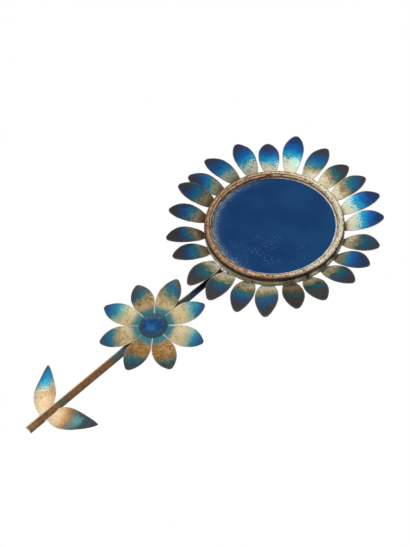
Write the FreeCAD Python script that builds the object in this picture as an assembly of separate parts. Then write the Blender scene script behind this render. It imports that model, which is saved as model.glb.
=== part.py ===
import FreeCAD, Part
import math
import os

# Tin wall mirror in the shape of a sunflower, formed from sheet and soldered together.
# Millimetres. The origin is the centre of the mirror on the wall plane, +Z points up along the stem
# and the front faces -Y. Depths are measured from the wall towards the front, so y is minus the depth.
# Angles round a flower run clockwise from straight up, as seen from the front.

V = FreeCAD.Vector
X_AXIS = V(1, 0, 0)
Y_AXIS = V(0, 1, 0)
Z_AXIS = V(0, 0, 1)
FULL_TURN = 360.0
THIRD_TURN = 120.0
QUARTER_TURN = 90.0
DIAGONAL_SHARE = math.sqrt(0.5)

# Sheet, glass and clearances
tin = 0.8
glass_radius = 127.0
glass_thickness = 3.0
card_thickness = 2.0
plate_thickness = 1.0
glass_clearance = 0.5
trim_margin = 4.0

# Frame round the glass
lip_cover = 2.0
lip_thickness = 1.0
lip_step = 0.3
lip_foot = 0.6
bead_tube_radius = 7.4
bead_foot = 1.0
bead_lap = 3.0
ring_thickness = 1.0
ring_width = 30.0
ring_set_in = 0.6
recess_depth = 10.0

# Bent tabs behind the back plate
tab_count = 8
tab_reach = 6.0
tab_width = 8.0
tab_start_share = 0.5

# Petals of the head
petal_reach = 80.0
petal_width = 44.0
petal_root_width = 24.0
petal_tip_radius = 9.0
petal_cup_radius = 100.0
petal_arch_radius = 150.0
petal_tongue_length = 18.0
petal_gap_from_band = 1.2
petal_band_clearance = 0.3
petal_seam = 1.5
petal_tongue_share = 0.66
petal_crown_share = 0.5

# Stem
stem_offset = -3.5
stem_width = 14.5
stem_depth = 7.0
stem_corner_radius = 2.5
stem_sheet = 1.0
stem_length = 489.7
stem_taper_length = 146.2
stem_end_width = 11.0
stem_end_corner_radius = 0.6
stem_tongue_width = 9.0
stem_tongue_length = 18.0

# Small flower on the stem
flower_offset = -1.5
flower_drop = 188.2
flower_petal_count = 8
flower_disc_radius = 20.0
flower_disc_thickness = 1.0
flower_petal_reach = 78.0
flower_petal_width = 45.0
flower_petal_slit = 0.8
flower_petal_slit_length = 14.0
flower_petal_tip_radius = 7.0
flower_petal_cup_radius = 70.0
flower_petal_dish_radius = 320.0
flower_petal_tilt = 2.5
flower_root_radius = 12.0
flower_petal_widest_share = 0.49
flower_petal_trough_share = 0.33
button_radius = 27.5
button_height = 9.0
button_rim_gap = 0.7

# Leaves at the foot of the stem
leaf_length = 100.0
leaf_width = 42.0
leaf_root_width = 10.0
leaf_tip_radius = 1.2
leaf_cup_radius = 48.0
leaf_dish_radius = 300.0
leaf_depth = 2.5
leaf_trough_share = 0.4

# Hanger
hanger_drop = 49.8
wire_radius = 1.2
wire_clearance = 0.05
hanger_ring_radius = 10.0
hanger_corner_radius = 3.0
strap_width = 8.0
strap_length = 9.0
strap_lip_angle = 25.0

# Radii and depths that follow from the sizes above
lip_inner = glass_radius - lip_cover
seat_inner = glass_radius + glass_clearance
seat_outer = seat_inner + tin
bead_inner = seat_outer + lip_step
lip_outer = bead_inner + tin + lip_foot
bead_centre = bead_inner + bead_tube_radius
bead_outer = bead_centre + bead_tube_radius
band_outer = bead_outer - tin
band_inner = band_outer - tin
hanger_height = band_inner - hanger_drop
ring_outer = band_outer - ring_set_in
ring_inner = ring_outer - ring_width
root_back = ring_thickness
root_middle = root_back + tin / 2
band_back = root_back + tin
plate_front = recess_depth + plate_thickness
card_front = plate_front + card_thickness
glass_front = card_front + glass_thickness
lip_front = glass_front + lip_thickness
bead_depth = lip_front + bead_foot
petal_hinge_radius = band_outer + petal_gap_from_band
stem_top = -petal_hinge_radius
stem_bottom = stem_top - stem_length
stem_full_from = stem_top - stem_taper_length
flower_height = stem_top - flower_drop
disc_front = stem_depth + flower_disc_thickness
flower_root_middle = disc_front + tin / 2
flower_root_front = disc_front + tin
flower_hinge_radius = button_radius + button_rim_gap
loop_radius = wire_radius + wire_clearance
hanger_axis_depth = recess_depth - loop_radius - tin

# Each petal of the head: where it grows from and where its tip points, its reach, its width, its width at
# the root and its widest place as shares of the petal sizes, and how steeply it rises and how far it is
# rolled about its own length. Angles in degrees.
petal_shares = [
    # root, tip, reach, width, root width, widest place, rise, roll
    (329.4, 328.2, 1.23, 1.02, 0.55, 0.57, 16.0, 0.0),
    (343.6, 346.5, 1.06, 1.01, 0.66, 0.56, 18.0, 0.0),
    (357.9, 2.3, 0.95, 1.00, 0.75, 0.54, 14.5, 3.0),
    (13.2, 16.1, 0.97, 1.00, 0.78, 0.52, 19.5, 3.0),
    (29.4, 29.5, 1.04, 0.98, 0.80, 0.53, 17.0, 2.0),
    (45.7, 44.4, 0.98, 1.04, 0.80, 0.54, 17.5, 0.0),
    (61.2, 63.6, 0.93, 0.98, 0.70, 0.54, 15.5, 0.0),
    (78.0, 78.4, 0.93, 1.00, 0.70, 0.54, 20.5, -1.0),
    (93.3, 90.2, 0.89, 0.97, 0.75, 0.52, 15.0, -3.0),
    (109.2, 109.7, 0.91, 0.99, 0.85, 0.52, 18.5, 0.0),
    (123.9, 124.4, 0.89, 0.96, 1.08, 0.49, 16.0, -2.0),
    (141.0, 140.4, 1.13, 1.03, 1.00, 0.50, 17.0, 0.0),
    (156.7, 154.2, 1.11, 1.02, 1.00, 0.50, 17.0, 0.0),
    (173.6, 168.8, 1.10, 1.03, 1.00, 0.54, 18.5, -2.0),
    (188.8, 183.0, 1.06, 1.01, 1.00, 0.50, 16.0, 2.0),
    (203.8, 203.6, 0.95, 1.00, 0.85, 0.50, 15.5, 2.0),
    (220.8, 215.4, 0.98, 0.99, 0.80, 0.52, 18.5, 1.0),
    (237.4, 235.9, 0.98, 1.01, 0.80, 0.53, 17.0, 0.0),
    (254.0, 252.3, 1.01, 1.00, 0.75, 0.53, 21.0, -5.0),
    (268.9, 262.2, 1.04, 0.97, 0.62, 0.53, 13.0, -7.0),
    (285.8, 275.4, 1.05, 1.00, 0.55, 0.55, 17.0, 0.0),
    (299.6, 295.5, 1.11, 1.03, 0.55, 0.56, 17.0, 0.0),
    (313.8, 312.5, 0.97, 1.03, 0.50, 0.57, 17.0, 0.0),
]

# Small-flower petals: the first one's angle, and for each one its reach and how far its blade leans
# sideways from its root. Angles in degrees.
flower_first_angle = 22.5
flower_petal_shares = [
    # reach, lean
    (1.01, -0.7),
    (1.01, 2.3),
    (1.00, 1.4),
    (1.02, 1.2),
    (1.01, 1.8),
    (1.01, 1.0),
    (0.92, 0.5),
    (1.07, -0.2),
]

# Each leaf: its side of the stem, how far in from that side its root starts as a share of its root width,
# how high above the stem's foot as a share of the leaf length, its direction, its length and its width as
# shares of the leaf sizes, its widest place, and how steeply it rises. Angles in degrees.
leaf_shares = {
    # side, set in, height, direction, length, width, widest place, rise
    "left_leaf": (-1, 0.075, 0.375, -44.0, 0.95, 0.976, 0.38, 8.0),
    "right_leaf": (1, 0.575, 0.435, 61.5, 1.04, 1.048, 0.36, 8.0),
}


def save(shape, node):
    """Writes one node and says how many solids it has."""
    shape.exportStep("parts/" + node + ".step")
    print(node, "solids", len(shape.Solids), "volume", round(shape.Volume, 1), "valid", shape.isValid())


def one_solid(shape):
    """A fused shape as one plain solid."""
    return shape.removeSplitter().Solids[0]


def washer(inner, outer, back, front):
    """Flat ring about the mirror's axis between two depths."""
    start = V(0, -front, 0)
    disc = Part.makeCylinder(outer, front - back, start, Y_AXIS)
    return disc.cut(Part.makeCylinder(inner, front - back, start, Y_AXIS))


def disc(radius, back, front, x=0, z=0):
    """Round plate between two depths."""
    return Part.makeCylinder(radius, front - back, V(x, -front, z), Y_AXIS)


def arc_about(centre, radius, start, end):
    """Arc in the X-Y plane from one angle to another, in radians."""
    points = [V(centre.x + radius * math.cos(a), centre.y + radius * math.sin(a), 0)
              for a in (start, (start + end) / 2, end)]
    return Part.Arc(*points).toShape()


def joined(edges):
    """Flat face inside edges that meet end to end."""
    return Part.Face(Part.Wire(Part.__sortEdges__(edges)))


def line(a, b):
    """Straight edge between two points."""
    return Part.LineSegment(a, b).toShape()


def turned(edges):
    """Solid turned about the mirror's axis from a profile of radius and minus depth."""
    return joined(edges).revolve(V(0, 0, 0), Y_AXIS, FULL_TURN)


def leaf_outline(root_half, shoulder_half, shoulder_at, widest_half, widest_at, length, tip_radius, lap):
    """Outline of a petal or leaf that points up from the origin, in the X-Z plane.
    It starts below the origin by the lap, runs straight to its shoulder, swells to the widest place
    in one arc, and closes in another arc to a rounded tip."""
    rise = widest_at - shoulder_at
    swell = widest_half - shoulder_half
    lower_radius = (rise ** 2 + swell ** 2) / (2 * swell)
    run = length - tip_radius - widest_at
    upper_radius = (run ** 2 + widest_half ** 2 - tip_radius ** 2) / (2 * (widest_half - tip_radius))
    lower_centre = V(widest_half - lower_radius, widest_at, 0)
    upper_centre = V(widest_half - upper_radius, widest_at, 0)
    lower_angle = -math.asin(rise / lower_radius)
    upper_angle = math.asin(run / (upper_radius - tip_radius))
    tip_centre = V(0, length - tip_radius, 0)
    right = [line(V(root_half, -lap, 0), V(shoulder_half, shoulder_at, 0)),
             arc_about(lower_centre, lower_radius, lower_angle, 0),
             arc_about(upper_centre, upper_radius, 0, upper_angle)]
    left = [edge.mirror(V(0, 0, 0), X_AXIS) for edge in right]
    tip = arc_about(tip_centre, tip_radius, upper_angle, math.pi - upper_angle)
    foot = line(V(-root_half, -lap, 0), V(root_half, -lap, 0))
    face = joined(right + left + [tip, foot])
    face.rotate(V(0, 0, 0), X_AXIS, QUARTER_TURN)
    return face


def hollow_section(cup_radius, half_width):
    """Cross-section of a sheet that is hollow to the front, with its middle at the origin."""
    edge_angle = math.asin((half_width + trim_margin) / cup_radius)
    centre = V(0, -cup_radius, 0)
    back, front = cup_radius + tin / 2, cup_radius - tin / 2
    up = math.pi / 2
    ends = []
    for side in (up - edge_angle, up + edge_angle):
        inner = V(front * math.cos(side), centre.y + front * math.sin(side), 0)
        outer = V(back * math.cos(side), centre.y + back * math.sin(side), 0)
        ends.append(line(inner, outer))
    return joined([arc_about(centre, back, up - edge_angle, up + edge_angle),
                   arc_about(centre, front, up - edge_angle, up + edge_angle)] + ends)


def dished_sheet(cup_radius, dish_radius, trough, half_width, length):
    """Sheet hollowed across and along, with its hollow to the front and its middle line through the origin."""
    section = hollow_section(cup_radius, half_width)
    below = math.degrees(math.asin((trough + trim_margin + trim_margin) / dish_radius))
    above = math.degrees(math.asin((length - trough + trim_margin) / dish_radius))
    pivot = V(0, -dish_radius, 0)
    section.rotate(pivot, X_AXIS, -below)
    sheet = section.revolve(pivot, X_AXIS, below + above)
    sink = dish_radius - math.sqrt(dish_radius ** 2 - trough ** 2)
    sheet.translate(V(0, sink, trough))
    return sheet


def arched_sheet(cup_radius, arch_radius, crown, half_width, length):
    """Sheet hollowed across and arched to the front along, with its middle line through the origin."""
    section = hollow_section(cup_radius, half_width)
    below = math.degrees(math.asin((crown + trim_margin + trim_margin) / arch_radius))
    above = math.degrees(math.asin((length - crown + trim_margin) / arch_radius))
    pivot = V(0, arch_radius, 0)
    section.rotate(pivot, X_AXIS, -above)
    sheet = section.revolve(pivot, X_AXIS, above + below)
    lift = arch_radius - math.sqrt(arch_radius ** 2 - crown ** 2)
    sheet.translate(V(0, -lift, crown))
    return sheet


def cut_blade(sheet, outline, length):
    """The part of a formed sheet that lies inside an outline."""
    column = outline.copy()
    column.translate(V(0, length, 0))
    column = column.extrude(V(0, -2 * length, 0))
    return sheet.common(column).Solids[0]


def rear_ring():
    """Flat ring that the petals' roots are soldered to, and that lies on the wall."""
    return washer(ring_inner, ring_outer, 0, ring_thickness)


def rim_band():
    """Outer wall of the frame."""
    return washer(band_inner, band_outer, band_back, bead_depth)


def rim_bead():
    """Half-round moulding, open behind, lapped over the band outside and standing on the lip inside."""
    centre = V(bead_centre, -bead_depth, 0)
    hollow = bead_tube_radius - tin
    lap_end = -(bead_depth - bead_lap)
    foot_end = -lip_front
    edges = [
        arc_about(centre, bead_tube_radius, math.pi, 2 * math.pi),
        arc_about(centre, hollow, math.pi, 2 * math.pi),
        line(V(bead_inner, centre.y, 0), V(bead_inner, foot_end, 0)),
        line(V(bead_inner, foot_end, 0), V(bead_inner + tin, foot_end, 0)),
        line(V(bead_inner + tin, foot_end, 0), V(bead_inner + tin, centre.y, 0)),
        line(V(bead_outer, centre.y, 0), V(bead_outer, lap_end, 0)),
        line(V(bead_outer, lap_end, 0), V(band_outer, lap_end, 0)),
        line(V(band_outer, lap_end, 0), V(band_outer, centre.y, 0)),
    ]
    return turned(edges)


def glass_lip():
    """Angle ring: its flange covers the edge of the glass and its wall stands round it."""
    corners = [
        (lip_inner, lip_front), (lip_outer, lip_front), (lip_outer, glass_front), (seat_outer, glass_front),
        (seat_outer, plate_front), (seat_inner, plate_front), (seat_inner, glass_front),
        (lip_inner, glass_front), (lip_inner, lip_front),
    ]
    return Part.Face(Part.makePolygon([V(r, -d, 0) for r, d in corners])).revolve(
        V(0, 0, 0), Y_AXIS, FULL_TURN)


def plate_tabs():
    """Tabs bent in from the band behind the back plate."""
    turn = math.degrees(tab_width / band_inner)
    tabs = []
    for i in range(tab_count):
        corners = [
            (band_inner - tab_reach, recess_depth - tin), (band_inner, recess_depth - tin),
            (band_inner, recess_depth), (band_inner - tab_reach, recess_depth),
            (band_inner - tab_reach, recess_depth - tin),
        ]
        tab = Part.Face(Part.makePolygon([V(r, -d, 0) for r, d in corners]))
        tab.rotate(V(0, 0, 0), Y_AXIS, (i + tab_start_share) * FULL_TURN / tab_count - turn / 2)
        tabs.append(tab.revolve(V(0, 0, 0), Y_AXIS, turn))
    return Part.makeCompound(tabs)


def head_petal(root_angle, tip_angle, reach_share, width_share, root_share, widest_share, rise, roll):
    """One arched petal of the head, with its flat root tongue between the rear ring and the band."""
    tip_radius = petal_hinge_radius + petal_reach * reach_share
    lean = math.radians(tip_angle - root_angle)
    across = tip_radius * math.sin(lean)
    along = tip_radius * math.cos(lean) - petal_hinge_radius
    length = math.hypot(across, along) / math.cos(math.radians(rise))
    width = petal_width * width_share
    root_width = petal_root_width * root_share
    tongue_width = root_width * petal_tongue_share
    outline = leaf_outline(root_width / 2, root_width / 2, 0, width / 2,
                           length * widest_share, length, petal_tip_radius, trim_margin)
    sheet = arched_sheet(petal_cup_radius, petal_arch_radius, length * petal_crown_share, width / 2, length)
    blade = cut_blade(sheet, outline, length)
    blade.rotate(V(0, 0, 0), Z_AXIS, roll)
    blade.rotate(V(0, 0, 0), X_AXIS, rise)
    blade.rotate(V(0, 0, 0), Y_AXIS, math.degrees(math.atan2(across, along)))
    blade.translate(V(0, -root_middle, petal_hinge_radius))
    blade = blade.cut(disc(band_outer + petal_band_clearance, -length, length))
    blade = blade.cut(Part.makeBox(2 * length, length, 2 * length,
                                   V(-length, -root_back, petal_hinge_radius - length)))
    tongue = Part.makeBox(tongue_width, tin, petal_tongue_length + petal_seam,
                          V(-tongue_width / 2, -band_back, petal_hinge_radius - petal_tongue_length))
    petal = one_solid(blade.fuse(tongue))
    petal.rotate(V(0, 0, 0), Y_AXIS, root_angle)
    return petal


def stem_section(width, depth, corner, z):
    """Closed outline of the stem at one height: flat back, straight sides and rounded front corners."""
    half = width / 2
    soft = corner * (1 - DIAGONAL_SHARE)
    edges = [
        line(V(-half, 0, z), V(-half, corner - depth, z)),
        Part.Arc(V(-half, corner - depth, z), V(soft - half, soft - depth, z),
                 V(corner - half, -depth, z)).toShape(),
        line(V(corner - half, -depth, z), V(half - corner, -depth, z)),
        Part.Arc(V(half - corner, -depth, z), V(half - soft, soft - depth, z),
                 V(half, corner - depth, z)).toShape(),
        line(V(half, corner - depth, z), V(half, 0, z)),
        line(V(half, 0, z), V(-half, 0, z)),
    ]
    return Part.Wire(edges)


def stem():
    """Formed channel, open behind, hammered flat at the top where its tongue goes under the band."""
    outer = Part.makeLoft([
        stem_section(stem_end_width, band_back, stem_end_corner_radius, stem_top),
        stem_section(stem_width, stem_depth, stem_corner_radius, stem_full_from),
        stem_section(stem_width, stem_depth, stem_corner_radius, stem_bottom),
    ], True, True)
    inner_width = stem_width - 2 * stem_sheet
    inner_depth = stem_depth - stem_sheet
    inner_corner = stem_corner_radius - stem_sheet
    inner = Part.makeLoft([
        stem_section(stem_end_width - 2 * stem_sheet, root_back, stem_end_corner_radius, stem_top),
        stem_section(inner_width, inner_depth, inner_corner, stem_full_from),
        stem_section(inner_width, inner_depth, inner_corner, stem_bottom),
    ], True, True)
    tongue = Part.makeBox(stem_tongue_width, tin, stem_tongue_length + petal_seam,
                          V(-stem_tongue_width / 2, -band_back, stem_top - petal_seam))
    channel = one_solid(outer.cut(inner).fuse(tongue))
    channel.translate(V(stem_offset, 0, 0))
    return channel


def wedge_half(radius):
    """Half the room that one small-flower petal has at a radius, less half a slit."""
    return radius * math.tan(math.pi / flower_petal_count) - flower_petal_slit / 2


def flower_petal(index):
    """One petal of the small flower, with its flat wedge root under the button."""
    reach_share, lean = flower_petal_shares[index]
    length = flower_petal_reach * reach_share
    shoulder_radius = flower_hinge_radius + flower_petal_slit_length
    outline = leaf_outline(wedge_half(flower_hinge_radius), wedge_half(shoulder_radius),
                           flower_petal_slit_length, flower_petal_width / 2,
                           length * flower_petal_widest_share, length, flower_petal_tip_radius, 0)
    sheet = dished_sheet(flower_petal_cup_radius, flower_petal_dish_radius,
                         length * flower_petal_trough_share, flower_petal_width / 2, length)
    blade = cut_blade(sheet, outline, length)
    blade.rotate(V(0, 0, 0), X_AXIS, flower_petal_tilt)
    blade.rotate(V(0, 0, 0), Y_AXIS, lean)
    blade.translate(V(0, -flower_root_middle, flower_hinge_radius))
    far = flower_hinge_radius + petal_seam
    corners = [(wedge_half(flower_root_radius), flower_root_radius), (wedge_half(far), far)]
    corners += [(-x, z) for x, z in reversed(corners)]
    root = Part.Face(Part.makePolygon([V(x, -disc_front, z) for x, z in corners + corners[:1]]))
    petal = one_solid(blade.fuse(root.extrude(V(0, -tin, 0))))
    petal.rotate(V(0, 0, 0), Y_AXIS, flower_first_angle + index * FULL_TURN / flower_petal_count)
    petal.translate(V(flower_offset, 0, flower_height))
    return petal


def flower_button():
    """Domed button over the roots of the small flower's petals."""
    outer_radius = (button_radius ** 2 + button_height ** 2) / (2 * button_height)
    inner_radius = outer_radius - tin
    centre = V(0, outer_radius - button_height - flower_root_front, 0)
    rim = -flower_root_front
    edges = []
    rims = []
    for radius in (outer_radius, inner_radius):
        rim_angle = math.asin((rim - centre.y) / radius)
        edges.append(arc_about(centre, radius, -math.pi / 2, rim_angle))
        rims.append(V(radius * math.cos(rim_angle), rim, 0))
    edges.append(line(rims[1], rims[0]))
    edges.append(line(V(0, centre.y - outer_radius, 0), V(0, centre.y - inner_radius, 0)))
    button = turned(edges)
    button.translate(V(flower_offset, 0, flower_height))
    return button


def leaf(side, set_in_share, height_share, direction, length_share, width_share, widest_share, rise):
    """Pointed leaf, trimmed where its flank is soldered to the side of the stem."""
    length = leaf_length * length_share
    width = leaf_width * width_share
    x = stem_offset + side * (stem_width / 2 - leaf_root_width * set_in_share)
    z = stem_bottom + leaf_length * height_share
    outline = leaf_outline(leaf_root_width / 2, leaf_root_width / 2, 0, width / 2,
                           length * widest_share, length, leaf_tip_radius, trim_margin)
    sheet = dished_sheet(leaf_cup_radius, leaf_dish_radius, length * leaf_trough_share, width / 2, length)
    blade = cut_blade(sheet, outline, length)
    blade.rotate(V(0, 0, 0), X_AXIS, rise)
    blade.rotate(V(0, 0, 0), Y_AXIS, direction)
    blade.translate(V(x, -leaf_depth, z))
    room = Part.makeBox(stem_width, 2 * length, 2 * length,
                        V(stem_offset - stem_width / 2, -length, z - length))
    solids = blade.cut(room).Solids
    return max(solids, key=lambda solid: solid.Volume)


def hanger_strap():
    """Strip rolled round the straight side of the hanger ring and soldered to the back plate."""
    centre = V(-hanger_axis_depth, hanger_height, 0)
    outer = loop_radius + tin
    lip = math.radians(strap_lip_angle - QUARTER_TURN)
    plate = -recess_depth
    foot = hanger_height - strap_length
    ends = []
    for radius in (outer, loop_radius):
        ends.append(V(centre.x + radius * math.cos(lip), centre.y + radius * math.sin(lip), 0))
    edges = [
        arc_about(centre, outer, math.pi, lip),
        arc_about(centre, loop_radius, math.pi, lip),
        line(ends[0], ends[1]),
        line(V(plate, hanger_height, 0), V(plate, foot, 0)),
        line(V(plate, foot, 0), V(plate + tin, foot, 0)),
        line(V(plate + tin, foot, 0), V(plate + tin, hanger_height, 0)),
    ]
    profile = joined(edges)
    profile.rotate(V(0, 0, 0), V(1, 1, 1), THIRD_TURN)
    strap = profile.extrude(V(strap_width, 0, 0))
    strap.translate(V(-strap_width / 2, 0, 0))
    return strap


def hanger_ring():
    """Wire D-ring whose straight side turns in the strap."""
    straight = hanger_ring_radius - hanger_corner_radius
    soft = hanger_corner_radius * (1 - DIAGONAL_SHARE)
    diagonal = hanger_ring_radius * DIAGONAL_SHARE
    bottom = -hanger_corner_radius - hanger_ring_radius

    def half(side):
        path = Part.Wire([
            line(V(0, 0, 0), V(side * straight, 0, 0)),
            Part.Arc(V(side * straight, 0, 0), V(side * (hanger_ring_radius - soft), 0, -soft),
                     V(side * hanger_ring_radius, 0, -hanger_corner_radius)).toShape(),
            Part.Arc(V(side * hanger_ring_radius, 0, -hanger_corner_radius),
                     V(side * diagonal, 0, -hanger_corner_radius - diagonal),
                     V(0, 0, bottom)).toShape(),
        ])
        wire = Part.Wire(Part.makeCircle(wire_radius, V(0, 0, 0), X_AXIS))
        return path.makePipeShell([wire], True, False)

    ring = one_solid(half(1).fuse(half(-1)))
    ring.translate(V(0, -hanger_axis_depth, hanger_height))
    return ring


def main():
    """Builds and saves every node."""
    os.makedirs("parts", exist_ok=True)
    save(rear_ring(), "rear_ring")
    save(rim_band(), "rim_band")
    save(rim_bead(), "rim_bead")
    save(glass_lip(), "glass_lip")
    save(disc(glass_radius, card_front, glass_front), "mirror_glass")
    save(disc(glass_radius, plate_front, card_front), "backing_card")
    save(disc(band_inner, recess_depth, plate_front), "back_plate")
    save(plate_tabs(), "plate_tabs")
    for number, place in enumerate(petal_shares, 1):
        save(head_petal(*place), "petal_%02d" % number)
    save(stem(), "stem")
    save(disc(flower_disc_radius, stem_depth, disc_front, flower_offset, flower_height), "flower_back_disc")
    for index in range(flower_petal_count):
        save(flower_petal(index), "flower_petal_%d" % (index + 1))
    save(flower_button(), "flower_button")
    for name, place in leaf_shares.items():
        save(leaf(*place), name)
    save(hanger_strap(), "hanger_strap")
    save(hanger_ring(), "hanger_ring")


main()
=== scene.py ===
# %% [markdown]
# A round wall mirror in the shape of a flower on a stem, cut and beaten from thin tin sheet and coloured over
# a flame. The imported model holds every solid at its true place, in metres, so this script only dresses it:
# it gives the plain solids their finish and replaces the formed sheets by livelier ones. The first cell loads
# that frame.

# %% Load the imported model
import math

import bmesh
import bpy
from mathutils import Matrix, Vector


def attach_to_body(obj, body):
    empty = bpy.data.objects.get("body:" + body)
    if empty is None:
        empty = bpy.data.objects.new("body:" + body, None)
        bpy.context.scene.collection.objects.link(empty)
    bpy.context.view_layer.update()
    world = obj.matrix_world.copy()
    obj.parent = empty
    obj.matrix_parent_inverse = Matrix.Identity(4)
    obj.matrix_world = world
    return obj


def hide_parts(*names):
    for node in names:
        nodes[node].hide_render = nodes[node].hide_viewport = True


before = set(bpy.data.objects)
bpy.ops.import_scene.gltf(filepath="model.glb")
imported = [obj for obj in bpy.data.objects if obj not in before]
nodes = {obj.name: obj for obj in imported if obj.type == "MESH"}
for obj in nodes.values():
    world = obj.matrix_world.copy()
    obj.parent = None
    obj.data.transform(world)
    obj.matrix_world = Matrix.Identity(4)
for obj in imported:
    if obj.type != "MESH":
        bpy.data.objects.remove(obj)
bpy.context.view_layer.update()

MM = 0.001

# %% [markdown]
# The photograph was taken from low down and to the right, with the camera turned so that the stem
# runs to the lower left. A camera's own axes are its right, its up and its back, so three
# directions say all of that at once, and a matrix with them as columns turns the camera.

# %% Camera at the photograph's viewing angle
PHOTO_HEIGHT = 547.0
PHOTO_FOCAL = 850.0
camera_place = Vector((777.5, -1372.2, -782.4)) * MM
camera_right = Vector((0.68761, 0.08201, 0.72144)).normalized()
camera_back = camera_right.cross(Vector((-0.55275, -0.58516, 0.59335))).normalized()
camera_up = camera_back.cross(camera_right)


def in_scene(name, data):
    """An object with its data, put into the scene."""
    thing = bpy.data.objects.new(name, data)
    bpy.context.scene.collection.objects.link(thing)
    return thing


camera = in_scene("photo_camera", bpy.data.cameras.new("photo_camera"))
camera.data.sensor_width = 36.0
camera.data.lens = camera.data.sensor_width * PHOTO_FOCAL / PHOTO_HEIGHT
turn = Matrix((camera_right, camera_up, camera_back)).transposed()
camera.matrix_world = Matrix.Translation(camera_place) @ turn.to_4x4()
bpy.context.scene.camera = camera
bpy.context.scene.view_settings.view_transform = "Standard"
print("lens in mm", round(camera.data.lens, 1))

# %% [markdown]
# Nodes can be added and linked by hand, but sums of many nodes are hard to read that way. A small
# class wraps one socket and gives it Python's signs, so that a sum of sockets is written as a sum
# and grows its own Math nodes. It serves the materials and the shapes alike, since both kinds of
# tree have the same maths nodes. Vectors go through Vector Math. Everything else comes from one
# function that takes a node's type, its settings, and what goes into its sockets.


# %% A socket that can be added, multiplied and compared
def put(tree, kind, settings=None, sockets=None, out=0):
    """Adds a node: its settings first, then the values or links of its sockets."""
    node = tree.nodes.new(kind)
    for name, value in (settings or {}).items():
        setattr(node, name, value)
    for name, value in (sockets or {}).items():
        socket = node.inputs[name]
        if isinstance(value, Thread):
            tree.links.new(value.socket, socket)
        elif socket.type == "VECTOR" and isinstance(value, (int, float)):
            socket.default_value = (value, value, value)
        elif socket.type == "RGBA" and len(value) == 3:
            socket.default_value = (*value, 1.0)
        else:
            socket.default_value = value
    return Thread(node.outputs[out]) if len(node.outputs) else node


class Thread:
    """One output socket of a tree, with Python's signs for its maths."""

    def __init__(self, socket):
        self.socket = socket
        self.tree = socket.id_data

    def work(self, operation, *terms):
        """A Math node on the terms, or Vector Math where one of them is a vector or a colour."""
        flat = not any(isinstance(t, tuple) or (isinstance(t, Thread) and t.socket.type in ("VECTOR", "RGBA"))
                       for t in terms)
        kind = "ShaderNodeMath" if flat else "ShaderNodeVectorMath"
        return put(self.tree, kind, {"operation": operation}, dict(enumerate(terms)))

    def __add__(self, other): return self.work("ADD", self, other)
    def __radd__(self, other): return self.work("ADD", other, self)
    def __sub__(self, other): return self.work("SUBTRACT", self, other)
    def __rsub__(self, other): return self.work("SUBTRACT", other, self)
    def __mul__(self, other): return self.work("MULTIPLY", self, other)
    def __rmul__(self, other): return self.work("MULTIPLY", other, self)
    def __truediv__(self, other): return self.work("DIVIDE", self, other)
    def __pow__(self, other): return self.work("POWER", self, other)
    def __gt__(self, other): return self.work("GREATER_THAN", self, other)
    def __abs__(self): return self.work("ABSOLUTE", self)
    def root(self): return self.work("SQRT", self)
    def sin(self): return self.work("SINE", self)
    def cos(self): return self.work("COSINE", self)
    def at_least(self, other): return self.work("MAXIMUM", self, other)
    def at_most(self, other): return self.work("MINIMUM", self, other)

    def parts(self):
        """The three numbers of a vector."""
        node = put(self.tree, "ShaderNodeSeparateXYZ", None, {0: self}).socket.node
        return [Thread(part) for part in node.outputs]

    def step(self, start, end):
        """Rises smoothly from 0 at start to 1 at end."""
        return put(self.tree, "ShaderNodeMapRange", {"interpolation_type": "SMOOTHSTEP"},
                   {"Value": self, "From Min": start, "From Max": end})


def tree_of(*terms):
    """The tree that the threads among the terms belong to."""
    return next(t.tree for t in terms if isinstance(t, Thread))


def vector(x, y, z):
    """Three numbers or threads as one vector."""
    return put(tree_of(x, y, z), "ShaderNodeCombineXYZ", None, {0: x, 1: y, 2: z})


def noise(place, scale=1.0, detail=2.0, seed=0.0, rough=0.5):
    """Soft noise. The scale works on the seed too, so another scale is another pattern."""
    return put(place.tree, "ShaderNodeTexNoise", {"noise_dimensions": "4D"},
               {"Vector": place, "W": seed, "Scale": scale, "Detail": detail, "Roughness": rough})


def cloud(place, size, detail=2.0, seed=0.0, rough=0.5):
    """Noise on a place in metres, with patches of about that many millimetres."""
    return noise(place, 1.0 / (size * MM), detail, seed, rough)


print("maths ready")

# %% [markdown]
# Every petal and leaf is one piece of sheet: cut to an outline, beaten hollow across, and bent
# lengthwise. The big flower's petals arch forwards along their length. The small flower's petals
# and the leaves are dished, hollow both ways. That is a rule, so Geometry Nodes can form it: a flat
# grid is squeezed to the outline, each point is pushed back by the depth of the hollow, and the
# result is turned into place through the same steps that a maker takes, roll, rise, lean and then
# round the frame. The tree also writes down where each point lies on its petal, which the finish
# reads later. Every input of a tree knows whether it is a length, an angle or a plain number, so
# that all sizes below can be given in millimetres and degrees.

# %% Trees with named sizes
UNITS = {"DISTANCE": MM, "ANGLE": math.radians(1.0), "NONE": 1.0}


def new_recipe(name, inputs):
    """An empty geometry tree, and its named sizes as threads."""
    tree = bpy.data.node_groups.new(name, "GeometryNodeTree")
    for way in ("INPUT", "OUTPUT"):
        tree.interface.new_socket("Geometry", in_out=way, socket_type="NodeSocketGeometry")
    for kind, labels in inputs.items():
        for label in labels:
            tree.interface.new_socket(label, in_out="INPUT", socket_type="NodeSocketFloat").subtype = kind
    tree.interface.new_socket("Finish", in_out="INPUT", socket_type="NodeSocketMaterial")
    source = tree.nodes.new("NodeGroupInput")
    return tree, {s.name: Thread(s) for s in source.outputs if s.name}


def through(kind, geometry, sockets=None, settings=None):
    """Sends geometry through one more node."""
    return put(geometry.tree, "GeometryNode" + kind, settings, {"Geometry": geometry, **(sockets or {})})


def write_down(geometry, label, value):
    """Stores a number at each point under a name."""
    return through("StoreNamedAttribute", geometry, {"Name": label, "Value": value},
                   {"data_type": "FLOAT", "domain": "POINT"})


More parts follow.
